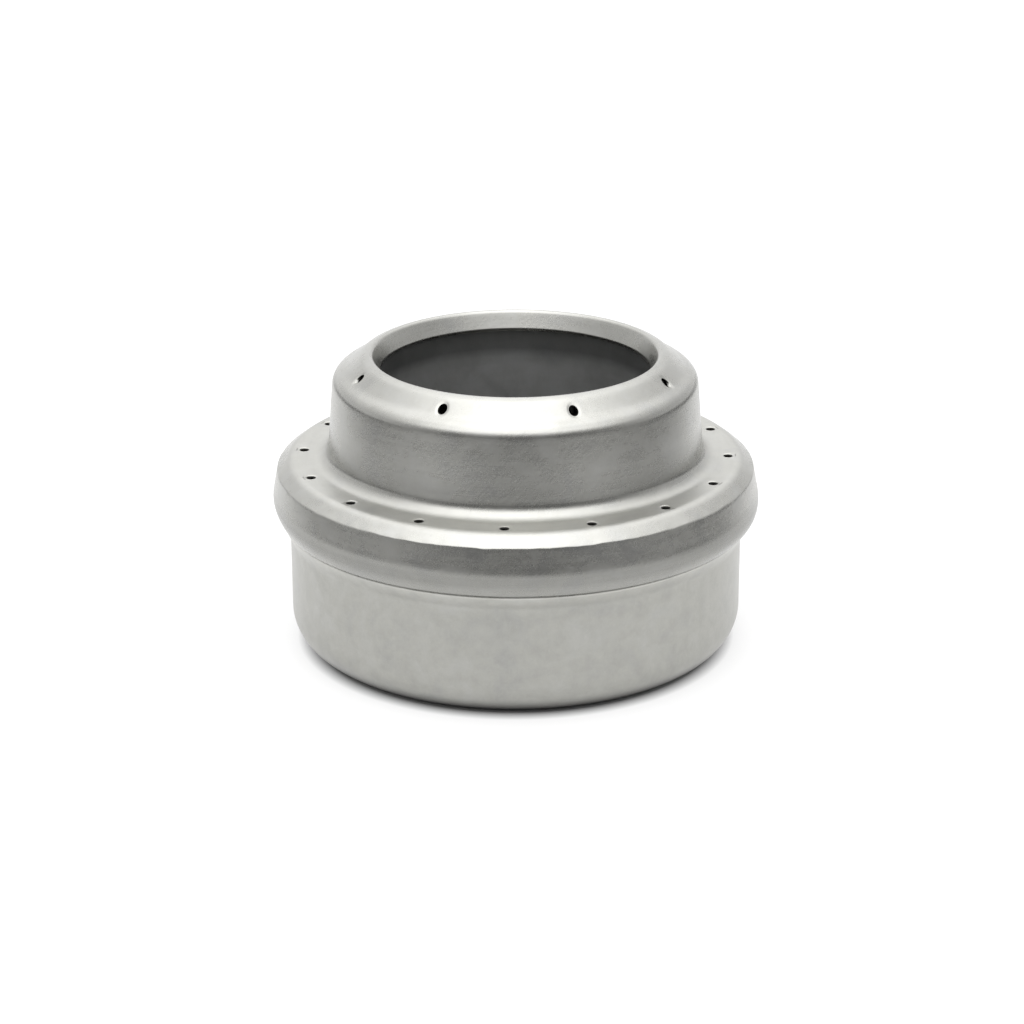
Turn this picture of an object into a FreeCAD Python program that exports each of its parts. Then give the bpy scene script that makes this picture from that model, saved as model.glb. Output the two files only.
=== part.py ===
import FreeCAD, Part
import math
import os

# Double-wall spirit burner in thin titanium sheet.
# Units are millimetres. +Z is up, along the burner's axis. The origin is the centre of the flat
# underside of the base cup, so the burner stands on z = 0. -Y is the front.
# Pieces: a drawn base cup, a spun upper shell with two rings of jets, and an inner sleeve that
# divides the open fuel well from the vapour chamber between the walls.

os.makedirs("parts", exist_ok=True)

# ---- driving dimensions ----
SHEET = 0.40            # sheet thickness of the cup and the shell
SLEEVE_SHEET = 0.25     # sheet thickness of the inner sleeve
LAP_GAP = 0.05          # gap between the shell's closed-in edge and the cup's wall

CUP_R = 33.50           # outside radius of the cup's straight wall
CUP_CORNER_R = 5.40     # outside radius of the rounded base corner
CUP_FLARE_TOP = 23.60   # height of the cup's flared top edge inside the bead
CUP_FLARE = [           # the cup's outside where its wall flares out and steps in under the shell
    (33.50, 16.95, 2.00),   # end of the straight wall
    (34.66, 19.10, 0.45),   # rim of the flare, just under the seam
    (34.409, 19.537, 0.10),  # step in, to run inside the shell
]

# Outside profile of the upper shell, from the lip's lower edge, up over the crown and down to
# the seam: (radius, height, corner radius)
SHELL = [
    (19.75, 41.12, 0.0),    # lower edge of the rolled-in lip
    (21.02, 44.10, 0.60),   # inner side of the crown
    (22.50, 43.65, 2.50),   # outer side of the crown
    (24.70, 41.78, 2.50),   # where the dome flattens towards the shoulder
    (26.75, 40.79, 2.05),   # shoulder
    (27.75, 28.34, 2.13),   # foot of the collar
    (33.22, 28.34, 2.50),   # outer side of the jet shelf
    (35.22, 26.80, 0.45),   # crisp crease where the bead begins
    (36.27, 21.30, 4.80),   # lower side of the bead, 36 mm at its widest
    (34.83, 19.35, 0.0),    # seam: the shell's lower edge, closed in on the cup's flare
]

JET_R = 0.69            # radius of every jet
LOWER_JETS = 16         # jets on the shelf, drilled straight down
LOWER_JET_PCR = 31.40
LOWER_JET_PHASE = -2.9  # degrees from the front, towards +X
UPPER_JETS = 8          # jets on the dome, drilled outwards and a little upwards
UPPER_JET_PCR = 23.90
UPPER_JET_Z = 42.45
UPPER_JET_PHASE = -25.2
UPPER_JET_RISE = 8.0   # angle of an upper jet's axis above the horizontal, degrees

SLEEVE_RI = 20.95       # inside radius of the inner sleeve
SLEEVE_TOP = 42.60      # its top edge stands behind the lip, under the crown
LAP_ANGLE = 14.0        # angle of the sleeve's lap seam
LAP_PHASE = 30.0        # where the lap seam is, from the front
NOTCHES = 4             # fuel notches in the sleeve's foot
NOTCH_W = 3.0
NOTCH_H = 2.4
NOTCH_PHASE = 45.0


# ---- profile helpers ----
def offset_corners(corners, d):
    """Corners of the curve that runs parallel to a rounded polyline, d to its right."""
    pts = [(c[0], c[1]) for c in corners]
    dirs = []
    for a, b in zip(pts[:-1], pts[1:]):
        n = math.hypot(b[0] - a[0], b[1] - a[1])
        dirs.append(((b[0] - a[0]) / n, (b[1] - a[1]) / n))
    out = []
    for i, c in enumerate(corners):
        if i == 0 or i == len(corners) - 1:
            u = dirs[0] if i == 0 else dirs[-1]
            out.append((c[0] + d * u[1], c[1] - d * u[0], 0.0))
            continue
        u, v = dirs[i - 1], dirs[i]
        p = (c[0] + d * u[1], c[1] - d * u[0])
        q = (c[0] + d * v[1], c[1] - d * v[0])
        det = u[0] * v[1] - u[1] * v[0]
        t = ((q[0] - p[0]) * v[1] - (q[1] - p[1]) * v[0]) / det
        # a right-hand corner shrinks as the curve moves right, a left-hand one grows
        r = c[2] - d if det < 0 else c[2] + d
        out.append((p[0] + t * u[0], p[1] + t * u[1], r))
    return out


def rounded_edges(corners):
    """Line and arc edges of a polyline with rounded corners, in the XZ plane."""
    vec = lambda p: FreeCAD.Vector(p[0], 0, p[1])
    edges = []
    cur = (corners[0][0], corners[0][1])
    for i in range(1, len(corners) - 1):
        a, b, c = corners[i - 1], corners[i], corners[i + 1]
        la = math.hypot(b[0] - a[0], b[1] - a[1])
        lc = math.hypot(c[0] - b[0], c[1] - b[1])
        u = ((b[0] - a[0]) / la, (b[1] - a[1]) / la)
        v = ((c[0] - b[0]) / lc, (c[1] - b[1]) / lc)
        turn = math.atan2(u[0] * v[1] - u[1] * v[0], u[0] * v[0] + u[1] * v[1])
        t = b[2] * math.tan(abs(turn) / 2)
        if t < 1e-6:
            continue
        p = (b[0] - t * u[0], b[1] - t * u[1])
        along = (p[0] - cur[0]) * u[0] + (p[1] - cur[1]) * u[1]
        if along < -1e-6 or t > lc:
            raise ValueError("corner %d radius %.2f overruns its edges" % (i, b[2]))
        q = (b[0] + t * v[0], b[1] + t * v[1])
        s = 1 if turn > 0 else -1
        cen = (p[0] - s * b[2] * u[1], p[1] + s * b[2] * u[0])
        m = ((p[0] + q[0]) / 2 - cen[0], (p[1] + q[1]) / 2 - cen[1])
        k = b[2] / math.hypot(m[0], m[1])
        mid = (cen[0] + m[0] * k, cen[1] + m[1] * k)
        if math.hypot(p[0] - cur[0], p[1] - cur[1]) > 1e-6:
            edges.append(Part.LineSegment(vec(cur), vec(p)).toShape())
        edges.append(Part.Arc(vec(p), vec(mid), vec(q)).toShape())
        cur = q
    last = corners[-1]
    edges.append(Part.LineSegment(vec(cur), vec(last)).toShape())
    return edges


def sheet_of_revolution(outer, inner):
    """Revolve the strip between an outer and an inner rounded polyline about Z."""
    vec = lambda p: FreeCAD.Vector(p[0], 0, p[1])
    edges = rounded_edges(outer)
    edges.append(Part.LineSegment(vec(outer[-1]), vec(inner[-1])).toShape())
    edges += rounded_edges(inner)
    if math.hypot(outer[0][0] - inner[0][0], outer[0][1] - inner[0][1]) > 1e-6:
        edges.append(Part.LineSegment(vec(inner[0]), vec(outer[0])).toShape())
    wire = Part.Wire(Part.__sortEdges__(edges))
    face = Part.Face(wire)
    solid = face.revolve(FreeCAD.Vector(0, 0, 0), FreeCAD.Vector(0, 0, 1), 360)
    if solid.Volume < 0:
        solid.reverse()
    return solid


def around(deg, r, z):
    """Point at an angle from the front (-Y), positive towards +X."""
    a = math.radians(deg)
    return FreeCAD.Vector(r * math.sin(a), -r * math.cos(a), z)


# ---- burner shell: one spun sheet, lip to seam, with its two rings of jets ----
shell_in = offset_corners(SHELL, SHEET)
shell = sheet_of_revolution(SHELL, shell_in)
drills = []
for k in range(LOWER_JETS):
    p = around(LOWER_JET_PHASE + 360.0 * k / LOWER_JETS, LOWER_JET_PCR, SHELL[5][1] - 1.5)
    drills.append(Part.makeCylinder(JET_R, 3.0, p, FreeCAD.Vector(0, 0, 1)))
rise = math.radians(UPPER_JET_RISE)
for k in range(UPPER_JETS):
    deg = UPPER_JET_PHASE + 360.0 * k / UPPER_JETS
    out = around(deg, math.cos(rise), 0) + FreeCAD.Vector(0, 0, math.sin(rise))
    p = around(deg, UPPER_JET_PCR, UPPER_JET_Z) - out * 1.9
    drills.append(Part.makeCylinder(JET_R, 4.6, p, out))
shell = shell.cut(Part.makeCompound(drills))

# ---- base cup: floor, rounded corner, straight wall, a flare up to the seam, and a top edge that
# runs on inside the bead, parallel to the shell and a lap gap away from it ----
lap_line = offset_corners(SHELL, SHEET + LAP_GAP)
low, high = lap_line[8], lap_line[7]
t = (CUP_FLARE_TOP - low[1]) / (high[1] - low[1])
cup_out = [(0.0, 0.0, 0.0), (CUP_R, 0.0, CUP_CORNER_R)] + CUP_FLARE + [
    low, (low[0] + t * (high[0] - low[0]), CUP_FLARE_TOP, 0.0)]
cup_in = offset_corners(cup_out, -SHEET)
cup = sheet_of_revolution(cup_out, cup_in)

# ---- inner sleeve: a strip rolled into a tube with a lap seam, standing on the cup's floor ----
sleeve_ro = SLEEVE_RI + SLEEVE_SHEET
length = SLEEVE_TOP - SHEET
tube = Part.makeCylinder(sleeve_ro, length, FreeCAD.Vector(0, 0, SHEET)).cut(
    Part.makeCylinder(SLEEVE_RI, length + 2, FreeCAD.Vector(0, 0, SHEET - 1)))
# the seam's outer layer stops below the crown, where the lip leaves no room for two layers
lap_len = length - 2.2
lap = Part.makeCylinder(sleeve_ro + SLEEVE_SHEET, lap_len, FreeCAD.Vector(0, 0, SHEET),
                        FreeCAD.Vector(0, 0, 1), LAP_ANGLE).cut(
    Part.makeCylinder(sleeve_ro - 0.02, lap_len + 2, FreeCAD.Vector(0, 0, SHEET - 1)))
lap.rotate(FreeCAD.Vector(0, 0, 0), FreeCAD.Vector(0, 0, 1), -90 + LAP_PHASE - LAP_ANGLE / 2)
sleeve = tube.fuse(lap)
for k in range(NOTCHES):
    deg = NOTCH_PHASE + 360.0 * k / NOTCHES
    leg = Part.makeBox(6.0, NOTCH_W, NOTCH_H - NOTCH_W / 2 + 1.0,
                       FreeCAD.Vector(SLEEVE_RI - 3.0, -NOTCH_W / 2, SHEET - 1.0))
    arch = Part.makeCylinder(NOTCH_W / 2, 6.0,
                             FreeCAD.Vector(SLEEVE_RI - 3.0, 0, SHEET + NOTCH_H - NOTCH_W / 2),
                             FreeCAD.Vector(1, 0, 0))
    notch = leg.fuse(arch)
    notch.rotate(FreeCAD.Vector(0, 0, 0), FreeCAD.Vector(0, 0, 1), deg - 90)
    sleeve = sleeve.cut(notch)
sleeve = sleeve.removeSplitter()

total = 0.0
for name, shape in (("base_cup", cup), ("burner_shell", shell), ("inner_sleeve", sleeve)):
    if shape.ShapeType == "Compound" and len(shape.Solids) == 1:
        shape = shape.Solids[0]
    box = shape.optimalBoundingBox(False)
    total += shape.Volume
    print(name, shape.ShapeType, len(shape.Solids), "valid", shape.isValid(),
          "volume %.1f mm3" % shape.Volume,
          "box %.2f %.2f %.2f to %.2f %.2f %.2f" % (box.XMin, box.YMin, box.ZMin,
                                                    box.XMax, box.YMax, box.ZMax))
    shape.exportStep("parts/%s.step" % name)
print("sheet volume %.1f mm3, mass in titanium %.1f g" % (total, total * 4.51e-3))
for a, b, label in ((cup, shell, "cup/shell"), (cup, sleeve, "cup/sleeve"),
                    (shell, sleeve, "shell/sleeve")):
    print(label, "overlap %.4f mm3" % a.common(b).Volume, "distance %.3f mm" % a.distToShape(b)[0])
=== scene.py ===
import math

import bpy
import numpy as np
from mathutils import Matrix, Vector


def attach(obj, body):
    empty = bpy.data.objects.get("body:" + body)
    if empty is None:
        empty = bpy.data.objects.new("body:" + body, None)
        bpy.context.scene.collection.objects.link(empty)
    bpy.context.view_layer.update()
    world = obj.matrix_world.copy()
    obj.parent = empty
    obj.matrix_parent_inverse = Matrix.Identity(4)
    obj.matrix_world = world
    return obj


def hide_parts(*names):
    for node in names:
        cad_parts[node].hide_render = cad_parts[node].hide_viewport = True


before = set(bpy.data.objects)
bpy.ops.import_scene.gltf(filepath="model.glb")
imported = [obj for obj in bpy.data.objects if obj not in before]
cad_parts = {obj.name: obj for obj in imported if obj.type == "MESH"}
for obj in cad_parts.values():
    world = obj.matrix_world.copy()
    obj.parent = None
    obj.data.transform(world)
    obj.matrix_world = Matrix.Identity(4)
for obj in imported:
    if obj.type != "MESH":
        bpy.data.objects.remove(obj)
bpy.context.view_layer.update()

MM = 0.001
SEGS = 480                       # columns around the axis; 30 per lower jet, 60 per upper jet
rng = np.random.default_rng(7)

# ------------------------------------------------------------------ studio
# radiance of the white room at 4, 14, 27.5, 43.5, 61 and 80 degrees above the horizon
SKY_MAX = 3.3
SKY = {
    -1.0: (0.22, 0.16, 1.00, 2.80, 2.60, 3.0),       # in front
    -0.707: (0.40, 0.20, 1.00, 2.60, 2.40, 3.0),
    0.0: (0.95, 0.65, 0.95, 1.15, 1.85, 3.0),        # at the sides
    0.707: (1.05, 0.90, 1.10, 1.45, 2.10, 3.0),
    1.0: (1.40, 1.05, 1.35, 2.00, 2.50, 3.0),        # behind
}
# the floor's glow is painted light and its far grey is painted shade
FLOOR_TONE, FLOOR_PAINTED_GLOW, FLOOR_FAR_PAINTED_SHADE = 0.37, 0.58, 0.12

# ------------------------------------------------------------------ dimensions, in mm
SHEET, SLEEVE_SHEET, LAP_GAP = 0.40, 0.25, 0.05
CUP_R, CUP_CORNER_R, CUP_FLARE_TOP = 33.50, 5.40, 23.60
SHELL = [
    (19.75, 41.12, 0.0), (21.02, 44.10, 0.60), (22.50, 43.65, 2.50), (24.70, 41.78, 2.50),
    (26.75, 40.79, 2.05), (27.75, 28.34, 2.13), (33.22, 28.34, 2.50), (35.22, 26.80, 0.43),
    (36.27, 21.30, 4.80), (34.83, 19.35, 0.0),
]
CUP_FLARE = [(33.50, 16.95, 2.00), (34.66, 19.10, 0.45), (34.409, 19.537, 0.10)]
JET_R = 0.69
LOWER = dict(count=16, r=31.40, z=28.34, phase=-2.9, rise=90.0)
UPPER = dict(count=8, r=23.90, z=42.45, phase=-25.2, rise=8.0)
SLEEVE_RI, SLEEVE_TOP = 20.95, 42.60
LAP_ANGLE, LAP_PHASE = 14.0, 30.0
NOTCHES, NOTCH_W, NOTCH_H, NOTCH_PHASE = 4, 3.0, 2.4, 45.0


# ------------------------------------------------------------------ profile curves
def offset_corners(corners, d):
    pts = [np.array(c[:2], float) for c in corners]
    dirs = [(b - a) / np.linalg.norm(b - a) for a, b in zip(pts[:-1], pts[1:])]
    out = []
    for i, c in enumerate(corners):
        if i in (0, len(corners) - 1):
            u = dirs[0] if i == 0 else dirs[-1]
            out.append((c[0] + d * u[1], c[1] - d * u[0], 0.0))
            continue
        u, v = dirs[i - 1], dirs[i]
        p = pts[i] + d * np.array([u[1], -u[0]])
        q = pts[i] + d * np.array([v[1], -v[0]])
        det = u[0] * v[1] - u[1] * v[0]
        t = ((q[0] - p[0]) * v[1] - (q[1] - p[1]) * v[0]) / det
        out.append((p[0] + t * u[0], p[1] + t * u[1], c[2] - d if det < 0 else c[2] + d))
    return out


def rounded(corners, step=0.5, arc_deg=7.0):
    """Points along a polyline with rounded corners."""
    out = [np.array(corners[0][:2], float)]

    def line_to(p, keep_start=True):
        a = out[-1]
        n = max(1, int(math.ceil(np.linalg.norm(p - a) / step)))
        for k in range(1, n + 1):
            out.append(a + (p - a) * k / n)

    for i in range(1, len(corners) - 1):
        a, b, c = (np.array(corners[j][:2], float) for j in (i - 1, i, i + 1))
        u, v = (b - a) / np.linalg.norm(b - a), (c - b) / np.linalg.norm(c - b)
        turn = math.atan2(u[0] * v[1] - u[1] * v[0], u @ v)
        t = corners[i][2] * math.tan(abs(turn) / 2)
        p = b - t * u
        if np.linalg.norm(p - out[-1]) > 1e-6:
            line_to(p)
        if t < 1e-6:
            continue
        s = 1 if turn > 0 else -1
        cen = p + corners[i][2] * s * np.array([-u[1], u[0]])
        n = max(2, int(math.ceil(math.degrees(abs(turn)) / arc_deg)))
        a0 = math.atan2(p[1] - cen[1], p[0] - cen[0])
        for k in range(1, n + 1):
            an = a0 + turn * k / n
            out.append(cen + corners[i][2] * np.array([math.cos(an), math.sin(an)]))
    line_to(np.array(corners[-1][:2], float))
    return np.array(out)


def edge_round(a, b, n=4, bulge=0.42):
    """Points between two faces of a cut sheet edge, from a to b, rounded over outwards."""
    mid, half = (a + b) / 2, (b - a) / 2
    out = np.array([-half[1], half[0]])
    pts = []
    for k in range(1, n):
        t = math.pi * k / n
        # a soft squarish edge
        c, s = math.cos(t), math.sin(t)
        pts.append(mid - half * np.sign(c) * abs(c) ** 0.7 - out * bulge * abs(s) ** 0.7)
    return pts


class Curve:
    """A profile as a function of the distance along it."""

    def __init__(self, pts):
        self.p = np.asarray(pts, float)
        d = np.linalg.norm(np.diff(self.p, axis=0), axis=1)
        self.s = np.concatenate([[0], np.cumsum(d)])

    def at(self, s):
        return np.stack([np.interp(s, self.s, self.p[:, 0]), np.interp(s, self.s, self.p[:, 1])], -1)

    def normal(self, s, e=0.12):
        """Unit normal on the left of the direction of travel."""
        a, b = self.at(np.asarray(s) - e), self.at(np.asarray(s) + e)
        t = (b - a) / np.linalg.norm(b - a, axis=-1, keepdims=True)
        return np.stack([-t[..., 1], t[..., 0]], -1)

    def cross(self, origin, direction, near):
        """Distance along the curve where a line through origin meets it, nearest to `near`."""
        n = np.array([-direction[1], direction[0]])
        f = (self.p - origin) @ n
        hit = [self.s[i] + (self.s[i + 1] - self.s[i]) * f[i] / (f[i] - f[i + 1])
               for i in range(len(f) - 1) if f[i] * f[i + 1] <= 0 and f[i] != f[i + 1]]
        return min(hit, key=lambda h: np.linalg.norm(self.at(h) - near))


# ------------------------------------------------------------------ mesh building
class Mesh:
    def __init__(self):
        self.v, self.f = [], []

    def add(self, p):
        self.v.append(tuple(p))
        return len(self.v) - 1

    def face(self, *idx):
        self.f.append(idx)

    def build(self, name, mat, smooth=True):
        me = bpy.data.meshes.new(name)
        me.from_pydata([tuple(c * MM for c in p) for p in self.v], [], self.f)
        me.validate()
        me.polygons.foreach_set("use_smooth", [smooth] * len(me.polygons))
        me.materials.append(mat)
        me.update()
        o = bpy.data.objects.new(name, me)
        bpy.context.scene.collection.objects.link(o)
        return o


def wobble(theta, z, seed, amp):
    """Slow out-of-round of spun sheet: a few low waves around the axis, drifting with height."""
    r = np.random.default_rng(seed)
    out = 0.0
    for k in (2, 3, 5, 8):
        a, b, c = r.uniform(0, 2 * math.pi), r.uniform(-0.12, 0.12), r.uniform(0.5, 1.0) / k
        out = out + c * math.sin(k * theta + a + b * z)
    return amp * out


def bead_shift(r, z):
    """The bead was closed in a little off centre: its lower half stands out further on +X."""
    return 0.21 * math.exp(-((z - 20.4) / 1.7) ** 2) * min(1.0, max(0.0, (r - 33.75) / 0.8))


def crease_waver(r, z, theta):
    """The crisp crease over the bead isn't quite even: short waves of a few hundredths."""
    near = math.exp(-((z - 26.8) / 0.35) ** 2) * min(1.0, max(0.0, (r - 34.3) / 0.5))
    if near < 0.01:
        return 0.0
    waves = sum(a * math.sin(k * theta + p) for k, a, p in
                ((19, 0.022, 0.3), (31, 0.020, 2.1), (47, 0.017, 4.0), (71, 0.014, 1.2), (103, 0.010, 5.1)))
    return near * waves


def place(r, z, theta, seed=1, amp=0.0):
    """theta in radians from the front (-Y), positive towards +X."""
    shift = bead_shift(r, z)
    z = z + crease_waver(r, z, theta)
    if amp:
        r = r + wobble(theta, z, seed, amp)
    return (r * math.sin(theta) + shift, -r * math.cos(theta), z)


def columns(phase):
    """Angles of the mesh columns, with one column through the first jet."""
    return [math.radians(phase) + 2 * math.pi * k / SEGS for k in range(SEGS)]


class Sheet:
    """One face of a spun sheet: rows along a profile, columns around, with jet holes let into it."""

    def __init__(self, mesh, curve, rows, side, seed, amp, phase):
        self.m, self.c, self.side, self.seed, self.amp = mesh, curve, side, seed, amp
        self.th = columns(phase)
        self.rows = rows                   # distances along the curve
        self.grid = {}                     # (row, column) -> vertex
        self.holes = []                    # (row0, row1, col0, col1)

    def vert(self, i, j):
        j %= SEGS
        if (i, j) not in self.grid:
            r, z = self.c.at(self.rows[i])
            self.grid[i, j] = self.m.add(place(r, z, self.th[j], self.seed, self.amp))
        return self.grid[i, j]

    def point(self, s, theta, push=0.0):
        """A point of the surface, moved out along its normal by push."""
        r, z = self.c.at(s)
        if push:
            n = self.c.normal(s) * self.side
            r, z = r + n[0] * push, z + n[1] * push
        return place(r, z, theta, self.seed, self.amp)

    def quad(self, a, b, c, d):
        self.m.face(a, b, c, d) if self.side > 0 else self.m.face(d, c, b, a)

    def hole(self, s0, theta0, ru, rv, i0, i1, j0, j1, rings, dimple, width):
        """Fill the window of rows i0..i1 and columns j0..j1 round an oval hole; returns the edge loop."""
        self.holes.append((i0, i1, j0, j1))
        loop = [(i0, j) for j in range(j0, j1)] + [(i, j1) for i in range(i0, i1)] + \
               [(i1, j) for j in range(j1, j0, -1)] + [(i, j0) for i in range(i1, i0, -1)]
        outer = [self.vert(i, j) for i, j in loop]
        n = len(loop)
        r0 = self.c.at(s0)[0]
        nj, ni = j1 - j0, i1 - i0
        ang = []
        for i, j in loop:                  # even angles along each side of the window
            x = (j - j0) / nj * 2 - 1
            y = (i - i0) / ni * 2 - 1
            if i == i0 and j < j1:
                a = -3 * math.pi / 4 + (x + 1) / 2 * math.pi / 2
            elif j == j1 and i < i1:
                a = -math.pi / 4 + (y + 1) / 2 * math.pi / 2
            elif i == i1 and j > j0:
                a = math.pi / 4 + (1 - x) / 2 * math.pi / 2
            else:
                a = 3 * math.pi / 4 + (1 - y) / 2 * math.pi / 2
            ang.append(a)
        prev = outer
        for k in rings:                    # from the window in to the hole's edge, k = 1 at the edge
            gap = (k - 1) * JET_R
            push = -dimple * math.exp(-(gap / width) ** 2)
            cur = []
            for a in ang:
                u, v = ru * k * math.cos(a), rv * k * math.sin(a)
                cur.append(self.m.add(self.point(s0 + v, theta0 + u / r0, push)))
            for q in range(n):
                self.quad(prev[q], prev[(q + 1) % n], cur[(q + 1) % n], cur[q])
            prev = cur
        return prev, ang

    def fill(self, skip_rows=()):
        blocked = set()
        for i0, i1, j0, j1 in self.holes:
            for i in range(i0, i1):
                for j in range(j0, j1):
                    blocked.add((i, j % SEGS))
        for i in range(len(self.rows) - 1):
            if i in skip_rows:
                continue
            for j in range(SEGS):
                if (i, j) not in blocked:
                    self.quad(self.vert(i, j), self.vert(i, j + 1),
                              self.vert(i + 1, j + 1), self.vert(i + 1, j))


def strip(m, a, b, flip=False):
    """Quads between two closed loops of equal length."""
    n = len(a)
    for q in range(n):
        f = (a[q], a[(q + 1) % n], b[(q + 1) % n], b[q])
        m.face(*(f[::-1] if flip else f))


def rows_with_windows(curve, windows):
    """Row positions along a curve: its own points, but even rows inside each window (s0, s1, n)."""
    s = list(curve.s)
    for a, b, n in windows:
        s = [x for x in s if x < a - 0.12 or x > b + 0.12] + list(np.linspace(a, b, n + 1))
    return sorted(s)


# ------------------------------------------------------------------ burner shell
def build_shell(mat):
    m = Mesh()
    amp, seed = 0.035, 11
    outer = Curve(rounded(SHELL))
    inner = Curve(rounded(offset_corners(SHELL, SHEET), step=0.8, arc_deg=12))
    half_ns = {"lower": 4, "upper": 4}
    spans = {}
    for key, J in (("lower", LOWER), ("upper", UPPER)):
        d = np.array([math.cos(math.radians(J["rise"])), math.sin(math.radians(J["rise"]))])
        near = np.array([J["r"], J["z"]])
        for nm, c in (("out", outer), ("in", inner)):
            s0 = c.cross(near, d, near)
            nrm = c.normal(s0)
            cosa = abs(float(nrm @ d))
            spans[key, nm] = (s0, cosa)
    rows = {}
    for nm, c in (("out", outer), ("in", inner)):
        w = []
        for key, h in (("lower", 1.22), ("upper", 1.5)):
            s0 = spans[key, nm][0]
            # the lower window stays on the flat of the shelf
            if key == "lower":
                lo, hi = s0 - 1.30, s0 + 1.02
            else:
                lo, hi = s0 - h, s0 + h
            w.append((lo, hi, 8))
            spans[key, nm] += (lo, hi)
        rows[nm] = rows_with_windows(c, w)
    S = {"out": Sheet(m, outer, rows["out"], -1, seed, amp, LOWER["phase"]),
         "in": Sheet(m, inner, rows["in"], 1, seed, amp, LOWER["phase"])}
    # the sheet's outside is on the left of the travel direction (lip, crown, collar, bead)
    S["out"].side, S["in"].side = 1, -1
    for key, J, nj in (("lower", LOWER, 8), ("upper", UPPER, 10)):
        pitch = SEGS // J["count"]
        first = int(round(math.radians(J["phase"] - LOWER["phase"]) / (2 * math.pi / SEGS)))
        for k in range(J["count"]):
            th = math.radians(J["phase"] + 360.0 * k / J["count"])
            jc = first + k * pitch
            loops = []
            for nm in ("out", "in"):
                s0, cosa, lo, hi = spans[key, nm]
                sh = S[nm]
                i0 = int(np.argmin(np.abs(np.array(sh.rows) - lo)))
                i1 = int(np.argmin(np.abs(np.array(sh.rows) - hi)))
                if nm == "out":
                    rings = [1.62, 1.45, 1.3, 1.19, 1.1, 1.045, 1.012, 1.0]
                    dimple, width = (0.085, 0.16) if key == "lower" else (0.11, 0.2)
                else:
                    rings = [1.5, 1.2, 1.04, 1.0]
                    dimple, width = (-0.07, 0.16) if key == "lower" else (-0.09, 0.2)
                loop, ang = sh.hole(s0, th, JET_R, JET_R / cosa, i0, i1, jc - nj // 2, jc + nj // 2,
                                    rings, dimple, width)
                loops.append(loop)
            a = [np.array(m.v[i]) for i in loops[0]]
            b = [np.array(m.v[i]) for i in loops[1]]
            prev = loops[0]
            for t in (0.06, 0.3, 0.7, 0.94):
                # the edge is rounded over into the bore
                grow = 0.018 * (1 if t in (0.06, 0.94) else 0)
                mid_a, mid_b = sum(a) / len(a), sum(b) / len(b)
                cur = []
                for p, q in zip(a, b):
                    c = p + (q - p) * t
                    cen = mid_a + (mid_b - mid_a) * t
                    cur.append(m.add(c + (cen - c) * (0.02 - grow)))
                strip(m, prev, cur)
                prev = cur
            strip(m, prev, loops[1])
    for nm in ("out", "in"):
        S[nm].fill()
    # the two cut edges of the sheet: the lip's lower edge and the seam edge
    th = S["out"].th
    for end in (0, -1):
        i_out, i_in = (0, 0) if end == 0 else (len(rows["out"]) - 1, len(rows["in"]) - 1)
        a, b = outer.p[end], inner.p[end]
        lo = [S["out"].vert(i_out, j) for j in range(SEGS)]
        li = [S["in"].vert(i_in, j) for j in range(SEGS)]
        prev = lo
        pts = edge_round(a, b, 5, 0.45) if end == -1 else edge_round(a, b, 5, -0.45)
        for p in pts:
            cur = [m.add(place(p[0], p[1], t, seed, amp)) for t in th]
            strip(m, prev, cur, flip=(end == 0))
            prev = cur
        strip(m, prev, li, flip=(end == 0))
    return m.build("shell_spun", mat)


# ------------------------------------------------------------------ base cup
def build_cup(mat):
    m = Mesh()
    amp, seed = 0.025, 23
    lap_line = offset_corners(SHELL, SHEET + LAP_GAP)
    low, high = lap_line[8], lap_line[7]
    t = (CUP_FLARE_TOP - low[1]) / (high[1] - low[1])
    out = [(1.2, 0.0, 0.0), (CUP_R, 0.0, CUP_CORNER_R)] + CUP_FLARE + [
        low, (low[0] + t * (high[0] - low[0]), CUP_FLARE_TOP, 0.0)]
    po = rounded(out, step=1.0, arc_deg=6)
    pi = rounded(offset_corners(out, -SHEET), step=1.4, arc_deg=8)
    ring = [2 * math.pi * k / SEGS for k in range(SEGS)]

    def amp_at(r):
        return amp * min(1.0, max(0.0, (r - 24.0) / 9.0))

    def loops(pts):
        return [[m.add(place(p[0], p[1], t, seed, amp_at(p[0]))) for t in ring] for p in pts]

    lo, li = loops(po), loops(pi)
    for a, b in zip(lo[:-1], lo[1:]):
        strip(m, a, b)
    for a, b in zip(li[:-1], li[1:]):
        strip(m, a, b, flip=True)
    prev = lo[-1]
    for p in edge_round(po[-1], pi[-1], 5, 0.45):
        cur = [m.add(place(p[0], p[1], t, seed, amp)) for t in ring]
        strip(m, prev, cur)
        prev = cur
    strip(m, prev, li[-1])
    # the middle of the floor: two closing discs
    for loop, z, up in ((lo[0], 0.0, False), (li[0], SHEET, True)):
        c = m.add((0, 0, z))
        n = len(loop)
        for q in range(n):
            f = (loop[q], loop[(q + 1) % n], c)
            m.face(*(f if up else f[::-1]))
    return m.build("cup_drawn", mat)


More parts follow.
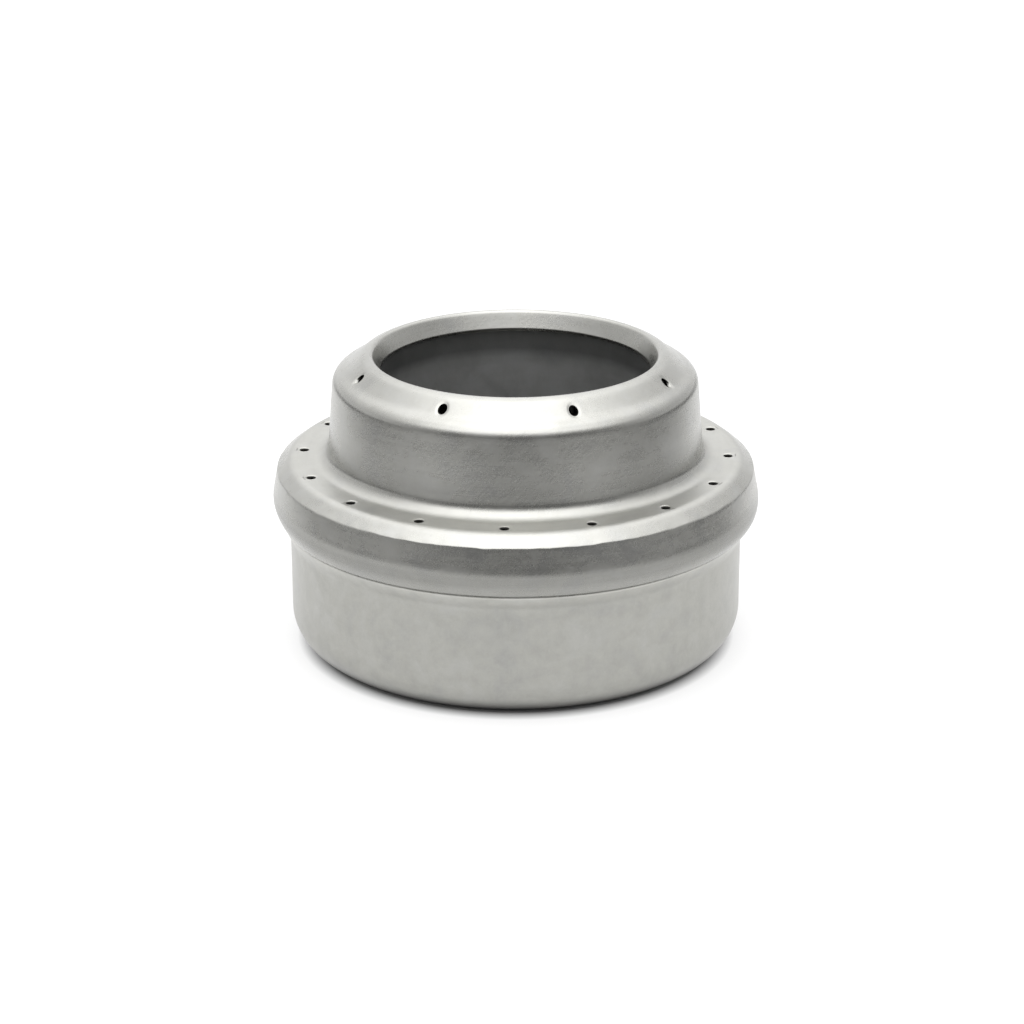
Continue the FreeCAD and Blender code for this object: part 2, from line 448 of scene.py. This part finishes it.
# ------------------------------------------------------------------ inner sleeve
def build_sleeve(mat):
    """A strip rolled into a tube: its end laps over its start, spot-welded, with arched notches at the foot."""
    m = Mesh()
    t = SLEEVE_SHEET
    base = math.radians(LAP_PHASE)
    lap = math.radians(LAP_ANGLE)
    total = 2 * math.pi + lap
    a0 = base - lap / 2
    # columns: even ones, with close pairs at the sides of each notch
    cols = list(np.linspace(0, total, 400))
    notch_a = []
    for k in range(NOTCHES):
        c = (math.radians(NOTCH_PHASE + 360.0 * k / NOTCHES) - a0) % (2 * math.pi)
        notch_a.append(c)
        h = math.asin(NOTCH_W / 2 / SLEEVE_RI)
        cols = [x for x in cols if abs(x - c) > h * 1.25]
        cols += [c - h - 0.0006, c + h + 0.0006] + list(c + h * np.sin(np.linspace(-math.pi / 2, math.pi / 2, 17)) * 0.9999)
    cols = sorted(cols)

    def foot(x):
        for c in notch_a:
            u = (x - c) * SLEEVE_RI
            if abs(u) < NOTCH_W / 2:
                return SHEET + NOTCH_H - NOTCH_W / 2 + math.sqrt(max(0.0, (NOTCH_W / 2) ** 2 - u * u))
        return SHEET + 0.004

    def top(x):
        # the outer layer of the lap stops short of the crown
        k = (x - (total - lap)) / 0.012
        k = min(1.0, max(0.0, k + 0.5))
        return SLEEVE_TOP - 2.2 * k

    def inner_r(x):
        k = (x - (total - lap - 0.05)) / 0.045
        k = min(1.0, max(0.0, k))
        return SLEEVE_RI + (t + 0.015) * (k * k * (3 - 2 * k))

    ts = [0, 0.006, 0.03, 0.08, 0.15, 0.25, 0.35, 0.45, 0.55, 0.65, 0.75, 0.85, 0.93, 0.98, 0.994, 1]
    e = 0.05
    sect = []
    for x in cols:
        zb, zt, ri = foot(x), top(x), inner_r(x)
        ri = ri + wobble(a0 + x, 0, 5, 0.02)
        loop = []
        for q in ts:                                  # up the inside
            z = zb + (zt - zb) * q
            r = ri + (e if q in (0, 1) else 0)
            loop.append((r, z))
        for q in ts[::-1]:                            # down the outside
            z = zb + (zt - zb) * q
            r = ri + t - (e if q in (0, 1) else 0)
            loop.append((r, z))
        sect.append([m.add(place(r, z, a0 + x)) for r, z in loop])
    for a, b in zip(sect[:-1], sect[1:]):
        n = len(a)
        for q in range(n):
            m.face(a[q], a[(q + 1) % n], b[(q + 1) % n], b[q])
    k = len(ts)
    for loop, flip in ((sect[0], True), (sect[-1], False)):
        for q in range(k - 1):
            f = (loop[q], loop[q + 1], loop[2 * k - 2 - q], loop[2 * k - 1 - q])
            m.face(*(f if not flip else f[::-1]))
    return m.build("sleeve_rolled", mat)


# ------------------------------------------------------------------ materials
def mat_nodes(name, color, metallic, rough):
    mat = bpy.data.materials.new(name)
    mat.use_nodes = True
    mat.diffuse_color = (*color, 1)
    nt = mat.node_tree
    b = nt.nodes["Principled BSDF"]
    b.inputs["Base Color"].default_value = (*color, 1)
    b.inputs["Metallic"].default_value = metallic
    b.inputs["Roughness"].default_value = rough
    return mat, nt, b


def node(nt, kind, **props):
    n = nt.nodes.new(kind)
    for k, v in props.items():
        setattr(n, k, v)
    return n


def math_node(nt, op, a, b=None, clamp=False):
    n = node(nt, "ShaderNodeMath", operation=op, use_clamp=clamp)
    for i, x in enumerate((a, b)):
        if x is None:
            continue
        if isinstance(x, (int, float)):
            n.inputs[i].default_value = x
        else:
            nt.links.new(x, n.inputs[i])
    return n.outputs[0]


def ramp(nt, fac, stops):
    n = node(nt, "ShaderNodeValToRGB")
    el = n.color_ramp.elements
    el[0].position, el[0].color = stops[0][0], (*stops[0][1], 1)
    el[1].position, el[1].color = stops[-1][0], (*stops[-1][1], 1)
    for p, c in stops[1:-1]:
        e = el.new(p)
        e.color = (*c, 1)
    nt.links.new(fac, n.inputs[0])
    return n.outputs[0]


def noise(nt, vec, scale, detail=3.0, rough=0.55, distortion=0.0):
    n = node(nt, "ShaderNodeTexNoise")
    n.inputs["Scale"].default_value = scale
    n.inputs["Detail"].default_value = detail
    n.inputs["Roughness"].default_value = rough
    n.inputs["Distortion"].default_value = distortion
    nt.links.new(vec, n.inputs["Vector"])
    return n.outputs["Fac"]


def remap(nt, x, lo, hi, a, b):
    n = node(nt, "ShaderNodeMapRange", clamp=True)
    for i, v in enumerate((lo, hi, a, b)):
        n.inputs[i + 1].default_value = v
    nt.links.new(x, n.inputs[0])
    return n.outputs[0]


def mix_color(nt, fac, a, b, blend="MIX"):
    n = node(nt, "ShaderNodeMix", data_type="RGBA", blend_type=blend)
    if isinstance(fac, float):
        n.inputs[0].default_value = fac
    else:
        nt.links.new(fac, n.inputs[0])
    for i, c in ((6, a), (7, b)):
        if isinstance(c, tuple):
            n.inputs[i].default_value = (*c, 1)
        else:
            nt.links.new(c, n.inputs[i])
    return n.outputs[2]


def coords(nt):
    """Object coordinates in mm, and the cylindrical radius, height and a vector for turning marks."""
    tc = node(nt, "ShaderNodeTexCoord")
    mm = node(nt, "ShaderNodeVectorMath", operation="SCALE")
    mm.inputs[3].default_value = 1000.0
    nt.links.new(tc.outputs["Object"], mm.inputs[0])
    sep = node(nt, "ShaderNodeSeparateXYZ")
    nt.links.new(mm.outputs[0], sep.inputs[0])
    x, y, z = sep.outputs
    r = math_node(nt, "SQRT", math_node(nt, "ADD", math_node(nt, "MULTIPLY", x, x),
                                        math_node(nt, "MULTIPLY", y, y)))
    return mm.outputs[0], x, y, z, r


def turned_vector(nt, x, y, z, r, across, along):
    """Coordinates that vary fast across the turning marks and slowly along them."""
    inv = math_node(nt, "DIVIDE", along, math_node(nt, "MAXIMUM", r, 1.0))
    comb = node(nt, "ShaderNodeCombineXYZ")
    nt.links.new(math_node(nt, "MULTIPLY", x, inv), comb.inputs[0])
    nt.links.new(math_node(nt, "MULTIPLY", y, inv), comb.inputs[1])
    nt.links.new(math_node(nt, "MULTIPLY", math_node(nt, "ADD", r, math_node(nt, "MULTIPLY", z, 1.13)), across),
                 comb.inputs[2])
    return comb.outputs[0]


def titanium(name, tone, rough, turned=0.5, blast=1.0, mottled=1.0, tint=(1.0, 1.0, 0.955), painted_light_bands=(), rough_zone=None):
    """Matte titanium: blasted grain, faint turning marks, mottled oxide, small handling scratches.

    painted_light_bands: (height in mm, factor) pairs in rising order, for bands of painted shade and
    painted highlight: the colour is scaled by a factor that runs evenly from one height to the next.
    """
    color = tuple(tone * c * max([1.0] + [k for _, k in painted_light_bands]) for c in tint)
    mat, nt, b = mat_nodes(name, color, 1.0, rough)
    mm, x, y, z, r = coords(nt)
    turn_a = turned_vector(nt, x, y, z, r, 1.1, 4.0)
    turn_b = turned_vector(nt, x, y, z, r, 5.0, 6.0)
    # colour: cloudy oxide patches, speckle of the blasting, turning streaks
    cloud = noise(nt, mm, 0.16, 4.0, 0.6, 0.6)
    blotch = noise(nt, mm, 0.55, 3.0, 0.6, 0.3)
    speck = noise(nt, mm, 2.6, 3.0, 0.7)
    streak = noise(nt, turn_a, 1.0, 3.0, 0.6)
    lo, hi = tuple(c * (1 - 0.09 * mottled) for c in color), tuple(min(1, c * (1 + 0.08 * mottled)) for c in color)
    warm = (color[0] * 1.005, color[1] * 1.0, color[2] * 0.98)
    c1 = ramp(nt, cloud, [(0.30, lo), (0.5, warm), (0.72, hi)])
    cb = ramp(nt, blotch, [(0.3, (0.94, 0.94, 0.935)), (0.5, (1, 1, 1)), (0.7, (1.05, 1.05, 1.05))])
    col = mix_color(nt, 0.8 * mottled, c1, cb, "MULTIPLY")
    c2 = ramp(nt, speck, [(0.25, (0.90, 0.90, 0.895)), (0.55, (1, 1, 1)), (0.8, (1.05, 1.05, 1.05))])
    col = mix_color(nt, 0.40 * mottled, col, c2, "MULTIPLY")
    c3 = ramp(nt, streak, [(0.28, (0.92, 0.92, 0.915)), (0.5, (1, 1, 1)), (0.75, (1.04, 1.04, 1.04))])
    col = mix_color(nt, min(1.0, 0.7 * turned), col, c3, "MULTIPLY")
    # painted shade and painted highlight: the colour is scaled up or down in bands of height
    if painted_light_bands:
        z0, z1 = painted_light_bands[0][0], painted_light_bands[-1][0]
        top = max(k for _, k in painted_light_bands)
        band = ramp(nt, remap(nt, z, z0, z1, 0.0, 1.0), [((h - z0) / (z1 - z0), (k / top,) * 3) for h, k in painted_light_bands])
        col = mix_color(nt, 1.0, col, band, "MULTIPLY")
    # fine handling scratches: thin lines of a stretched, warped noise
    wv = node(nt, "ShaderNodeMapping", vector_type="POINT")
    wv.inputs["Scale"].default_value = (3.4, 3.4, 0.55)
    wv.inputs["Rotation"].default_value = (0.5, 0.35, 0.9)
    nt.links.new(mm, wv.inputs[0])
    scr = noise(nt, wv.outputs[0], 1.3, 2.0, 0.5, 0.25)
    line = remap(nt, math_node(nt, "ABSOLUTE", math_node(nt, "SUBTRACT", scr, 0.5)), 0.0, 0.012, 1.0, 0.0)
    col = mix_color(nt, math_node(nt, "MULTIPLY", line, 0.08), col, tuple(min(1, c * 1.5) for c in color))
    nt.links.new(col, b.inputs["Base Color"])
    # roughness: patchy, a little lower along streaks
    rr = math_node(nt, "ADD", remap(nt, cloud, 0.3, 0.7, rough - 0.03, rough + 0.03),
                   remap(nt, streak, 0.3, 0.7, -0.025 * turned, 0.025 * turned))
    rr = math_node(nt, "ADD", rr, remap(nt, speck, 0.3, 0.7, -0.015, 0.015), clamp=True)
    if rough_zone:
        z0, z1, more = rough_zone
        band = ramp(nt, remap(nt, z, z0, z1, 0.0, 1.0), [(0.0, (0, 0, 0)), (0.3, (1, 1, 1)), (0.6, (1, 1, 1)), (1.0, (0, 0, 0))])
        rr = math_node(nt, "ADD", rr, math_node(nt, "MULTIPLY", band, more), clamp=True)
    nt.links.new(rr, b.inputs["Roughness"])
    # relief: blasted grain, orange peel drawn out on a slant, turning marks
    grain = noise(nt, mm, 3.6, 2.0, 0.6)
    pv = node(nt, "ShaderNodeMapping", vector_type="TEXTURE")
    pv.inputs["Scale"].default_value = (0.42, 0.42, 1.5)
    pv.inputs["Rotation"].default_value = (0.0, 0.75, 0.0)
    nt.links.new(mm, pv.inputs[0])
    peel = noise(nt, pv.outputs[0], 0.8, 3.0, 0.55)
    fine = noise(nt, turn_b, 1.0, 2.0, 0.6)
    h = math_node(nt, "ADD", math_node(nt, "MULTIPLY", grain, 0.0055 * blast), math_node(nt, "MULTIPLY", peel, 0.024 * blast))
    h = math_node(nt, "ADD", h, math_node(nt, "MULTIPLY", fine, 0.004 * turned))
    h = math_node(nt, "ADD", h, math_node(nt, "MULTIPLY", line, -0.003))
    bump = node(nt, "ShaderNodeBump")
    bump.inputs["Strength"].default_value = 1.0
    bump.inputs["Distance"].default_value = 0.001
    nt.links.new(h, bump.inputs["Height"])
    nt.links.new(bump.outputs[0], b.inputs["Normal"])
    return mat


# painted shade darkens the bead's lower half and the collar's foot, a painted highlight brightens the shelf, and the
# roughness is raised around the shelf and the collar's foot
shell_mat = titanium("titanium_spun_shell", 0.40, 0.28, turned=0.8, blast=0.50, mottled=0.6, tint=(1.0, 1.0, 0.965),
                     painted_light_bands=((19.4, 1.0), (20.2, 0.88), (21.3, 0.68), (22.3, 0.66), (23.2, 0.84), (24.3, 1.0),
                            (28.0, 1.0), (28.3, 1.12), (28.5, 1.12), (29.4, 1.0), (30.4, 0.86), (31.4, 0.84),
                            (33.0, 0.93), (34.5, 1.0)), rough_zone=(27.9, 29.2, 0.13))
# a painted highlight brightens the flare under the seam, and painted shade darkens the turn of the base
cup_mat = titanium("titanium_blasted_cup", 0.38, 0.32, turned=0.15, blast=0.75, mottled=1.0,
                   painted_light_bands=((0.0, 0.9), (0.3, 0.42), (1.0, 0.44), (2.0, 0.74), (3.2, 0.97), (4.2, 1.0),
                          (16.6, 1.0), (17.6, 1.05), (19.2, 1.26)))
# painted shade darkens the sleeve in a band under the lip; it is paler down in the well
sleeve_mat = titanium("titanium_dull_sleeve", 0.47, 0.48, turned=0.3, blast=0.3, mottled=0.8, tint=(0.99, 1.0, 1.01),
                      painted_light_bands=((35.2, 1.0), (36.6, 0.86), (38.0, 0.46)))

# ------------------------------------------------------------------ pieces
shell = build_shell(shell_mat)
cup = build_cup(cup_mat)
sleeve = build_sleeve(sleeve_mat)
for piece, cad, slot in ((shell, "burner_shell", "shell_titanium"), (cup, "base_cup", "cup_titanium"),
                         (sleeve, "inner_sleeve", "sleeve_titanium")):
    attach(piece, "root")
    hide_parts(cad)

# ------------------------------------------------------------------ floor
# a white sheet that glows with painted light everywhere but right under the cup, washing out the contact shadow round
# the foot, and that turns grey with painted shade a hand's breadth in front and at the sides
bpy.ops.mesh.primitive_plane_add(size=6.0, location=(0, 0, -0.00002))
floor = bpy.context.object
floor.name = "floor"
fmat, fnt, fb = mat_nodes("paper_floor", (FLOOR_TONE,) * 3, 0.0, 0.9)
fb.inputs["Specular IOR Level"].default_value = 0.0
ftc = node(fnt, "ShaderNodeTexCoord")
fsep = node(fnt, "ShaderNodeSeparateXYZ")
fnt.links.new(ftc.outputs["Object"], fsep.inputs[0])
fx, fy, _ = fsep.outputs
wide = math_node(fnt, "SUBTRACT", math_node(fnt, "ABSOLUTE", math_node(fnt, "ADD", fx, 0.008)),
                 math_node(fnt, "MULTIPLY", math_node(fnt, "MAXIMUM", fy, 0.0), 0.22))
# painted shade: the sheet turns to a dark grey beyond a hand's breadth in front and at the sides
sheet = math_node(fnt, "MULTIPLY", remap(fnt, fy, -0.20, -0.118, 0.0, 1.0), remap(fnt, wide, 0.105, 0.20, 1.0, 0.0))
fnt.links.new(mix_color(fnt, sheet, (FLOOR_FAR_PAINTED_SHADE,) * 3, (FLOOR_TONE,) * 3), fb.inputs["Base Color"])
fr = math_node(fnt, "SQRT", math_node(fnt, "ADD", math_node(fnt, "MULTIPLY", fx, fx),
                                      math_node(fnt, "MULTIPLY", fy, fy)))
# painted light: the sheet glows everywhere but in a disc under the cup's foot, lifting its contact shadow
painted_glow_mask = math_node(fnt, "MULTIPLY", sheet, remap(fnt, fr, 0.0303, 0.0329, 0.0, 1.0))
fnt.links.new(mix_color(fnt, painted_glow_mask, (0.0, 0.0, 0.0), (1.0, 1.0, 1.0)), fb.inputs["Emission Color"])
fb.inputs["Emission Strength"].default_value = FLOOR_PAINTED_GLOW
floor.data.materials.append(fmat)

# ------------------------------------------------------------------ light and camera
# a white room: bright overhead, pale at the sides and behind, dim in front near the horizon
world = bpy.data.worlds.new("studio")
bpy.context.scene.world = world
world.use_nodes = True
wnt = world.node_tree
wtc = node(wnt, "ShaderNodeTexCoord")
wsep = node(wnt, "ShaderNodeSeparateXYZ")
wnt.links.new(wtc.outputs["Generated"], wsep.inputs[0])
wx, wy, wz = wsep.outputs
across = math_node(wnt, "SQRT", math_node(wnt, "MAXIMUM", math_node(wnt, "SUBTRACT", 1.0, math_node(wnt, "MULTIPLY", wz, wz)), 0.0001))
az = math_node(wnt, "DIVIDE", wy, across)
levels = [math.sin(math.radians(e)) for e in (4, 14, 27.5, 43.5, 61, 80)]
wcol, last = None, None
for key in sorted(SKY):
    c = ramp(wnt, wz, [(p, (v / SKY_MAX,) * 3) for p, v in zip(levels, SKY[key])])
    wcol = c if wcol is None else mix_color(wnt, remap(wnt, az, last, key, 0.0, 1.0), wcol, c)
    last = key
# a little more light from the left than from the right
side = ramp(wnt, remap(wnt, wx, -1.0, 1.0, 0.0, 1.0), [(0.0, (1.0, 1.0, 1.0)), (0.5, (0.94, 0.94, 0.94)), (1.0, (0.86, 0.86, 0.86))])
wcol = mix_color(wnt, 1.0, wcol, side, "MULTIPLY")
wnt.links.new(wcol, wnt.nodes["Background"].inputs[0])
wnt.nodes["Background"].inputs[1].default_value = SKY_MAX / 0.94

cam_data = bpy.data.cameras.new("camera")
cam_data.sensor_width = 36.0
cam_data.lens = 101.02
cam_data.clip_start, cam_data.clip_end = 0.01, 20.0
cam = bpy.data.objects.new("camera", cam_data)
bpy.context.scene.collection.objects.link(cam)
elev, roll, dist = math.radians(20.648), math.radians(-0.161), 0.42868
target = Vector((-0.000525, 0.0, 0.018894))
back = Vector((0, -math.cos(elev), math.sin(elev)))
cam.location = target + back * dist
right0, up0 = Vector((1, 0, 0)), Vector((0, math.sin(elev), math.cos(elev)))
right = right0 * math.cos(roll) + up0 * math.sin(roll)
up = -right0 * math.sin(roll) + up0 * math.cos(roll)
cam.rotation_mode = "QUATERNION"
cam.rotation_quaternion = Matrix((right, up, back)).transposed().to_quaternion()
bpy.context.scene.camera = cam

bpy.context.scene.view_settings.view_transform = "Standard"
bpy.context.scene.view_settings.look = "None"
